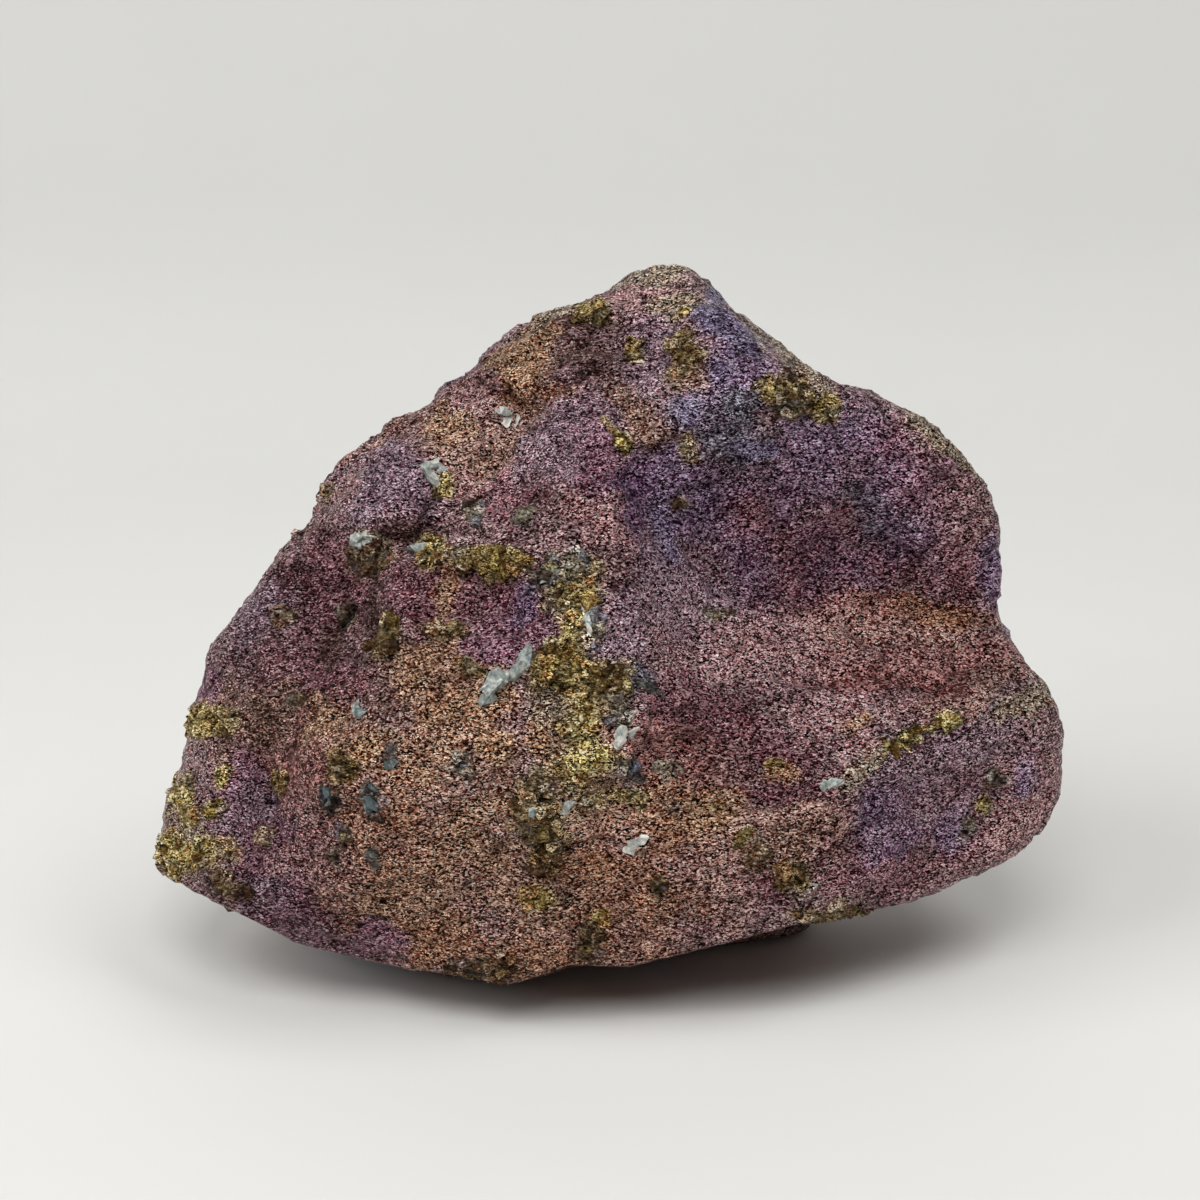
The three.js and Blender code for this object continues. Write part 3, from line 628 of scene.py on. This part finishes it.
def ore_chunk(material):
    """The chunk itself: a finer copy of the CAD solid, smoothed, carved and painted."""
    shape = bmesh.new()
    shape.from_mesh(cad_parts["ore_chunk"].data)
    bmesh.ops.remove_doubles(shape, verts=shape.verts, dist=0.001 * MM)
    for rounds in SMOOTHING:
        bmesh.ops.subdivide_edges(shape, edges=shape.edges, cuts=1, use_grid_fill=True)
        soften(shape, rounds)
    mesh = bpy.data.meshes.new("bornite")
    shape.to_mesh(mesh)
    shape.free()
    carve(mesh)
    for face in mesh.polygons:
        face.use_smooth = True
    piece = finished_piece(mesh, material)
    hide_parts("ore_chunk")
    return piece


def finished_piece(mesh, material):
    """A piece of the chunk, of one material, which moves with it."""
    mesh.materials.append(material)
    piece = bpy.data.objects.new(mesh.name, mesh)
    bpy.context.scene.collection.objects.link(piece)
    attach(piece, "root")
    return piece


# ---- shader expressions ----------------------------------------------------------------------------


class Value:
    """A socket that carries a number: an expression on it adds its Math nodes."""

    def __init__(self, recipe, socket):
        self.recipe = recipe
        self.socket = socket

    def _math(self, operation, *values):
        return self.recipe.add("ShaderNodeMath", {"operation": operation}, dict(enumerate(values)), "Value")

    def __add__(self, other):
        return self._math("ADD", self, other)

    def __radd__(self, other):
        return self._math("ADD", other, self)

    def __sub__(self, other):
        return self._math("SUBTRACT", self, other)

    def __rsub__(self, other):
        return self._math("SUBTRACT", other, self)

    def __mul__(self, other):
        return self._math("MULTIPLY", self, other)

    def at_least(self, other):
        return self._math("MAXIMUM", self, other)

    def step(self, low, high):
        """0 below low and 1 above high, with a soft step between them."""
        settings = {"interpolation_type": "SMOOTHSTEP"}
        inputs = {"Value": self, "From Min": low, "From Max": high}
        return self.recipe.add("ShaderNodeMapRange", settings, inputs, "Result")


class Recipe:
    """A material, and the one way that nodes are added to it."""

    def __init__(self, name):
        self.material = bpy.data.materials.new(name)
        self.material.use_nodes = True
        self.tree = self.material.node_tree
        self.shader = self.tree.nodes["Principled BSDF"]
        self.place = self.add("ShaderNodeTexCoord", {}, {}, "Object")

    def _find(self, sockets, key):
        if isinstance(key, int):
            return sockets[key]
        return next(s for s in sockets if s.enabled and key in (s.identifier, s.name))

    def feed(self, socket, value):
        if isinstance(value, Value):
            self.tree.links.new(value.socket, socket)
        else:
            socket.default_value = value

    def add(self, kind, settings, inputs, *outputs):
        """A node of a kind, with its settings, then its inputs' values or links; gives back some outputs."""
        node = self.tree.nodes.new(kind)
        for key, setting in settings.items():
            if key == "stops":
                ramp = node.color_ramp.elements
                while len(ramp) < len(setting):
                    ramp.new(0.5)
                for stop, (position, colour) in zip(ramp, setting):
                    stop.position = position
                    stop.color = (*colour, 1)
            else:
                setattr(node, key, setting)
        for key, value in inputs.items():
            self.feed(self._find(node.inputs, key), value)
        made = [Value(self, self._find(node.outputs, key)) for key in outputs]
        return made[0] if len(made) == 1 else made

    def set(self, **inputs):
        """Sets or feeds sockets of the shader; an underscore in a name stands for a space."""
        for key, value in inputs.items():
            self.feed(self.shader.inputs[key.replace("_", " ")], value)

    # colours and vectors

    def kept(self, name, output):
        """What the mesh keeps under a name."""
        return self.add("ShaderNodeAttribute", {"attribute_name": name}, {}, output)

    def tinted(self, colour, tint):
        settings = {"data_type": "RGBA", "blend_type": "MULTIPLY"}
        inputs = {"Factor_Float": 1.0, "A_Color": colour, "B_Color": tint}
        return self.add("ShaderNodeMix", settings, inputs, "Result_Color")

    def mixed(self, red, green, blue):
        return self.add("ShaderNodeCombineColor", {}, {0: red, 1: green, 2: blue}, "Color")

    def vector(self, operation, *values):
        return self.add("ShaderNodeVectorMath", {"operation": operation}, dict(enumerate(values)), "Vector")

    def scaled(self, vector, factor):
        inputs = {0: vector, "Scale": factor}
        return self.add("ShaderNodeVectorMath", {"operation": "SCALE"}, inputs, "Vector")

    def parts(self, vector):
        return self.add("ShaderNodeSeparateXYZ", {}, {0: vector}, "X", "Y", "Z")

    # patterns, sized in millimetres

    def bedded(self, flatness):
        """The place, turned upright along the chunk's lean and stretched, so that patterns on it lie flat."""
        inputs = {"Vector": self.place, "Angle": LEAN}
        upright = self.add("ShaderNodeVectorRotate", {"rotation_type": "X_AXIS"}, inputs, "Vector")
        return self.vector("MULTIPLY", upright, (1, 1, flatness))

    def noise(self, place, size, detail, roughness, output="Fac"):
        inputs = {"Vector": place, "Scale": 1 / (size * MM), "Detail": detail, "Roughness": roughness}
        return self.add("ShaderNodeTexNoise", {}, inputs, output)

    def cells(self, place, size):
        """The random colour of each cell."""
        return self.add("ShaderNodeTexVoronoi", {}, {"Vector": place, "Scale": 1 / (size * MM)}, "Color")

    def seams(self, place, size):
        """Distance to the nearest edge between two cells."""
        inputs = {"Vector": place, "Scale": 1 / (size * MM)}
        return self.add("ShaderNodeTexVoronoi", {"feature": "DISTANCE_TO_EDGE"}, inputs, "Distance")

    def bumped(self, height, depth, strength):
        """The normal of a surface that stands up to a depth in millimetres high."""
        inputs = {"Strength": strength, "Distance": depth * MM, "Height": height}
        return self.add("ShaderNodeBump", {}, inputs, "Normal")

    def tilted(self, normal, colour, amount):
        """A normal turned by a random colour, the same all over each cell."""
        turn = self.scaled(self.vector("SUBTRACT", colour, (0.5, 0.5, 0.5)), amount)
        return self.vector("NORMALIZE", self.vector("ADD", normal, turn))


# ---- finishes --------------------------------------------------------------------------------------

LAYERING = 1.7  # how much flatter than wide the grains are
GRAIN = 0.42  # mm, the size of a grain
GLINT = 0.2  # of the small faces on it
CRUST = 0.6  # of the rough crust that runs over the grains
RAGGED = 1 / 2.6  # of the waves that make the grains' edges ragged
RAGGED_DEPTH = 0.5 * MM
QUARTZ_TONES = [(0.0, (0.66, 0.63, 0.57)), (0.5, (0.26, 0.29, 0.27)), (1.0, (0.05, 0.075, 0.08))]


def bornite_finish():
    """Granular metallic ore: every grain has its own tilt, tone and gloss, with painted shade in the gaps
    between grains.
    """
    r = Recipe("tarnished_bornite")
    body = r.kept("body", "Color")
    brass, crack_shade, raised_light = r.parts(r.kept("mineral", "Vector"))
    red, _, _ = r.parts(body)

    flat = r.bedded(LAYERING)
    push = r.noise(flat, RAGGED, 3.0, 0.7, "Color")
    ragged = r.vector("ADD", flat, r.scaled(push, RAGGED_DEPTH))
    grain = r.cells(ragged, GRAIN)
    glint = r.cells(ragged, GLINT)
    gaps = r.seams(ragged, GRAIN)
    grain_tone, _, gloss = r.parts(grain)
    glint_tone, _, _ = r.parts(glint)
    crust = r.noise(flat, CRUST, 5.0, 0.72)

    # how bright a place is among its neighbours: 0 is a dark gap, 1 the brightest painted glint
    # painted glints: the small faces made paler or darker in colour, more so on redder bodies and less on the
    # vein
    painted_glint = (glint_tone - 0.5) * (red * 1.6 + 0.8 - brass)
    # painted light: the small relief makes raised places paler and low ones darker
    share = 0.5 + (crust - 0.5) * 0.9 + (grain_tone - 0.5) * 0.25 + painted_glint + raised_light * 0.1
    share = share.step(-0.1, 1.15)

    # dark places are deeper and redder, bright ones paler
    colour = r.add("ShaderNodeGamma", {}, {"Color": body, "Gamma": 1.6 - share * 1.15}, "Color")
    # painted shade: darker along cracks, at the feet of the vein's blocks and in the gaps between grains
    painted_crack_shade = 1 - crack_shade * (0.5 + brass * 0.4)
    between = gaps.step(0.0, 0.12) * (0.65 - brass * 0.4) + brass * 0.4 + 0.35
    bright = share * (share * 0.6 + 0.7) * painted_crack_shade * between
    # painted highlights are whiter, shaded places redder
    green = bright * (share * 0.5 + 0.5)
    blue = bright * (share * 0.52 + 0.41)
    colour = r.tinted(colour, r.mixed(bright, green, blue))

    normal = r.bumped(crust + gaps.step(0.0, 0.2) * 0.1, 0.4, 1.0)
    normal = r.tilted(normal, grain, 0.5 - brass * 0.3)
    normal = r.tilted(normal, glint, 0.9 - brass * 0.5)
    r.set(Base_Color=colour, Metallic=0.5, Specular_IOR_Level=0.05)
    r.set(Roughness=gloss * 0.2 + 0.2, Normal=normal)
    return r.material


def quartz_finish():
    """Milky quartz, from white to a greenish grey, with a glassy skin."""
    r = Recipe("milky_quartz")
    cloud = r.noise(r.place, 0.6, 5.0, 0.7)
    share = (r.kept("tone", "Fac") + 0.1 + (cloud - 0.5) * 2.4).at_least(0.0)
    colour = r.add("ShaderNodeValToRGB", {"stops": QUARTZ_TONES}, {"Fac": share}, "Color")
    r.set(Base_Color=colour, Metallic=0.0, Roughness=0.22, IOR=1.54, Normal=r.bumped(cloud, 0.15, 0.4))
    return r.material


def paper_finish():
    """Pale paper, with painted shade that makes it a little darker up the wall."""
    r = Recipe("pale_paper")
    _, _, height = r.parts(r.place)
    pale = (r.noise(r.place, 40.0, 2.0, 0.5) * 0.02 + 0.69) * (1 - height.step(-0.002, 0.035) * 0.1)
    r.set(Base_Color=r.mixed(pale, pale * 0.995, pale * 0.965), Roughness=0.7)
    return r.material


# ---- what grew on the chunk ------------------------------------------------------------------------


def surface_of(piece):
    """The places of a piece's points in millimetres, their normals and their two paints."""
    mesh = piece.data
    places = read_vectors(mesh.vertices, "co") / MM
    normals = read_vectors(mesh.vertices, "normal")
    bodies = read_vectors(mesh.attributes["body"].data, "vector")
    minerals = read_vectors(mesh.attributes["mineral"].data, "vector")
    return places, normals, bodies, minerals


def spread(points, chances, spacing, seed):
    """Picks points at random, by their chances, that keep at least a spacing from each other.

    The points are first put in order of place, so that the pick doesn't depend on how the mesh numbers them.
    """
    dice = np.random.default_rng(seed)
    order = np.lexsort(points.T)[dice.permutation(len(points))]
    order = order[dice.random(len(points)) < chances[order]]
    taken = {}
    picked = []
    for i in order:
        cell = tuple(np.floor(points[i] / spacing).astype(int))
        near = (
            taken.get((cell[0] + x, cell[1] + y, cell[2] + z), ())
            for x in (-1, 0, 1)
            for y in (-1, 0, 1)
            for z in (-1, 0, 1)
        )
        if any(np.sum((points[i] - points[j]) ** 2) < spacing * spacing for group in near for j in group):
            continue
        taken.setdefault(cell, []).append(i)
        picked.append(i)
    return picked


VEIN_SEED = 3
BLOCK_CUTS = 24  # different shapes of broken block
BLOCK_JITTER = 0.35  # how far the corners of a block are pushed, for its half size
BLOCK_SPACING = 0.75  # mm between two blocks, at least
BLOCK_SIZE = (0.6, 1.9)  # mm, from the smallest to the largest
BLOCK_FLATNESS = 0.7  # height of a block for its size
BLOCK_TILT = 0.4  # how much blocks lean away from the normal
BLOCK_TURN = 0.8  # how much they turn away from the chunk's length
BLOCK_TINTS = [
    (1, 1, 1), (1.05, 1, 0.7), (0.5, 0.45, 0.45), (0.85, 0.95, 1.4), (1.6, 1.5, 1.7), (1.05, 0.8, 0.7),
    (1, 1, 1),
]


def block_cuts(dice):
    """The corners of a few broken blocks, all with the same faces, and those faces."""
    cuts = []
    for _ in range(BLOCK_CUTS):
        shape = bmesh.new()
        bmesh.ops.create_cube(shape, size=2)
        for vert in shape.verts:
            vert.co.xy *= 0.75 if vert.co.z > 0 else 1
            vert.co += Vector([dice.uniform(-BLOCK_JITTER, BLOCK_JITTER) for _ in range(3)])
        bmesh.ops.triangulate(shape, faces=shape.faces)
        cuts.append([vert.co[:] for vert in shape.verts])
        faces = [[vert.index for vert in face.verts] for face in shape.faces]
        shape.free()
    return np.array(cuts), np.array(faces)


def unit(rows):
    """Each row, scaled to the length 1."""
    return rows / np.linalg.norm(rows, axis=1)[:, None]


def vein_blocks(surface, material):
    """Chunky chalcopyrite that stands out of the vein, from brass yellow to brown and grey."""
    places, _, _, minerals = surface
    chances = ease(0.4, 0.8, minerals[:, 0]) * ease(2, 4, places[:, 2])
    chosen = np.array(spread(places, chances, BLOCK_SPACING, VEIN_SEED))
    place, normal, body, mineral = (values[chosen] for values in surface)
    cuts, faces = block_cuts(random.Random(VEIN_SEED))
    dice = np.random.default_rng(VEIN_SEED)
    count = len(chosen)

    # each block leans a little, lies roughly along the chunk and is sunk into the surface
    tilt = unit(normal + dice.normal(0, BLOCK_TILT, place.shape))
    along = ACROSS + dice.normal(0, BLOCK_TURN, place.shape)
    along = unit(along - np.sum(along * tilt, axis=1)[:, None] * tilt)
    half = dice.uniform(*BLOCK_SIZE, count) / 2
    slimmest = (0.9, 0.6, BLOCK_FLATNESS * 0.8)
    widest = (1.3, 0.9, BLOCK_FLATNESS * 1.2)
    half = half[:, None] * dice.uniform(slimmest, widest, place.shape)
    place = place + dice.uniform(-0.25, 0.25, place.shape)
    place = place - normal * (half[:, 2] * dice.uniform(0.4, 1.0, count))[:, None]
    turn = np.stack((along, np.cross(tilt, along), tilt), axis=2) * half[:, None, :]
    corners = np.einsum("nij,nkj->nki", turn, cuts[dice.integers(BLOCK_CUTS, size=count)]) + place[:, None]
    body = body * np.array(BLOCK_TINTS)[dice.integers(len(BLOCK_TINTS), size=count)]
    body = body * dice.uniform(0.8, 1.25, (count, 1))

    mesh = bpy.data.meshes.new("chalcopyrite")
    numbers = np.arange(count)[:, None, None] * len(cuts[0]) + faces
    mesh.from_pydata((corners.reshape(-1, 3) * MM).tolist(), [], numbers.reshape(-1, 3).tolist())
    body, mineral = (np.repeat(values, len(cuts[0]), axis=0) for values in (body, mineral))
    mineral[:, 1] = np.tile(cuts[0][:, 2] < 0, count)  # painted shade: the feet of the blocks are darkened like the cracks
    paint_points(mesh, body=body, mineral=mineral)
    finished_piece(mesh, material)


SHARD_SPACING = 0.8  # mm
SHARD_LEAN = 0.35  # radians, at most
SHARD_JITTER = 0.22  # how far the corners of a shard are pushed, for its width


def lying(place, normal, along, size, dice):
    """The matrix that lays a unit shape on the surface along a direction, leaning a little."""
    normal = Vector(normal)
    along = Vector(along)
    side = (along - normal * along.dot(normal)).normalized()
    turn = Matrix((side, normal.cross(side), normal)).transposed().to_4x4()
    lean = Matrix.Rotation(dice.uniform(-SHARD_LEAN, SHARD_LEAN), 4, "X")
    lean = lean @ Matrix.Rotation(dice.uniform(-SHARD_LEAN, SHARD_LEAN), 4, "Y")
    stretch = Matrix.Diagonal((*[s * MM / 2 for s in size], 1))
    return Matrix.Translation(Vector(place) * MM) @ turn @ lean @ stretch


def quartz_shards(surface, material):
    """Flat broken shards of quartz, lying along each other."""
    place, normal, _, _ = surface
    local = own(place)
    flat = seen(local)
    facing = local[:, 2] > -4
    dice = random.Random(5)
    shape = bmesh.new()
    tone_layer = shape.verts.layers.float.new("tone")
    for (across, up), (long, wide), turn, grey in QUARTZ:
        run, _ = directions(turn)
        inside = oval(flat, across, up, long / 2, wide / 2, turn) < 0.8
        chosen = np.flatnonzero(inside & facing)
        for i in chosen[spread(place[chosen], np.ones(len(chosen)), SHARD_SPACING, 7)]:
            size = (long * dice.uniform(0.5, 0.8), wide * dice.uniform(0.9, 1.5), dice.uniform(0.5, 1.0))
            matrix = lying(place[i], normal[i], AXES @ (*run, 0), size, dice)
            made = bmesh.ops.create_icosphere(shape, subdivisions=1, radius=1.15, matrix=matrix)
            reach = size[1] * MM * SHARD_JITTER
            tone = grey + dice.uniform(-0.15, 0.15)
            for vert in made["verts"]:
                vert.co += Vector([dice.uniform(-reach, reach) for _ in range(3)])
                vert[tone_layer] = tone
    mesh = bpy.data.meshes.new("quartz")
    shape.to_mesh(mesh)
    shape.free()
    finished_piece(mesh, material)


# ---- the studio ------------------------------------------------------------------------------------

SWEEP_WIDTH = 3.2  # m
SWEEP_FRONT = 1.2  # m before the origin where the floor ends
SWEEP_START = 0.2  # m behind the origin where the floor starts to rise
SWEEP_RISE = 0.35  # m, the radius of the curve
SWEEP_STEPS = 16
SWEEP_WALL = 1.6  # m
LIGHT_AIM = (0, 0, 0.03)  # m


def studio_sweep(material):
    """A pale floor that curves up into a wall behind the chunk."""
    shape = bmesh.new()
    ends = [shape.verts.new((x, -SWEEP_FRONT, 0)) for x in (-SWEEP_WIDTH / 2, SWEEP_WIDTH / 2)]
    edge = shape.edges.new(ends)
    moves = [(0, SWEEP_START + SWEEP_FRONT, 0)]
    length = SWEEP_RISE * math.pi / 2 / SWEEP_STEPS
    for i in range(SWEEP_STEPS):
        angle = (i + 0.5) / SWEEP_STEPS * math.pi / 2
        moves.append((0, length * math.cos(angle), length * math.sin(angle)))
    moves.append((0, 0, SWEEP_WALL))
    for move in moves:
        made = bmesh.ops.extrude_edge_only(shape, edges=[edge])["geom"]
        edge = next(e for e in made if isinstance(e, bmesh.types.BMEdge))
        bmesh.ops.translate(shape, verts=[v for v in made if isinstance(v, bmesh.types.BMVert)], vec=move)
    bmesh.ops.recalc_face_normals(shape, faces=shape.faces)
    mesh = bpy.data.meshes.new("studio_sweep")
    shape.to_mesh(mesh)
    shape.free()
    for face in mesh.polygons:
        face.use_smooth = True
    mesh.materials.append(material)
    sweep = bpy.data.objects.new("studio_sweep", mesh)
    bpy.context.scene.collection.objects.link(sweep)


def softbox(name, place, size, power):
    """A square light of a size in metres and a power in watts, aimed at the chunk."""
    light = bpy.data.lights.new(name, "AREA")
    light.size = size
    light.energy = power
    lamp = bpy.data.objects.new(name, light)
    lamp.location = place
    lamp.rotation_euler = (Vector(LIGHT_AIM) - Vector(place)).to_track_quat("-Z", "Y").to_euler()
    bpy.context.scene.collection.objects.link(lamp)


def room_light(strength):
    """A faint, slightly warm light from all around."""
    world = bpy.data.worlds.new("room")
    world.use_nodes = True
    world.node_tree.nodes["Background"].inputs["Color"].default_value = (1.0, 0.99, 0.97, 1)
    world.node_tree.nodes["Background"].inputs["Strength"].default_value = strength
    bpy.context.scene.world = world


def camera():
    """The camera, which looks squarely at the widest outline of the chunk."""
    lens = bpy.data.cameras.new("camera")
    lens.sensor_width = 36
    lens.lens = lens.sensor_width / 2 / math.tan(VIEW_ANGLE / 2)
    lens.clip_start = 0.01
    eye = bpy.data.objects.new("camera", lens)
    back = Vector(OUT)
    target = Vector(HEART + AXES @ AIM) * MM
    eye.rotation_mode = "QUATERNION"
    eye.rotation_quaternion = (-back).to_track_quat("-Z", "Y")
    eye.location = target + back * VIEW_DISTANCE * MM
    bpy.context.scene.collection.objects.link(eye)
    bpy.context.scene.camera = eye


# ---- everything together ---------------------------------------------------------------------------

camera()
studio_sweep(paper_finish())
softbox("left_softbox", (-0.8, -0.4, 0.7), 0.75, 7.6)
softbox("front_softbox", (-0.05, -0.65, 0.85), 0.5, 6.0)
softbox("right_softbox", (0.5, -0.2, 0.95), 0.5, 3.8)
room_light(0.1)
bpy.context.scene.view_settings.view_transform = "Standard"

tarnished = bornite_finish()
surface = surface_of(ore_chunk(tarnished))
vein_blocks(surface, tarnished)
quartz_shards(surface, quartz_finish())
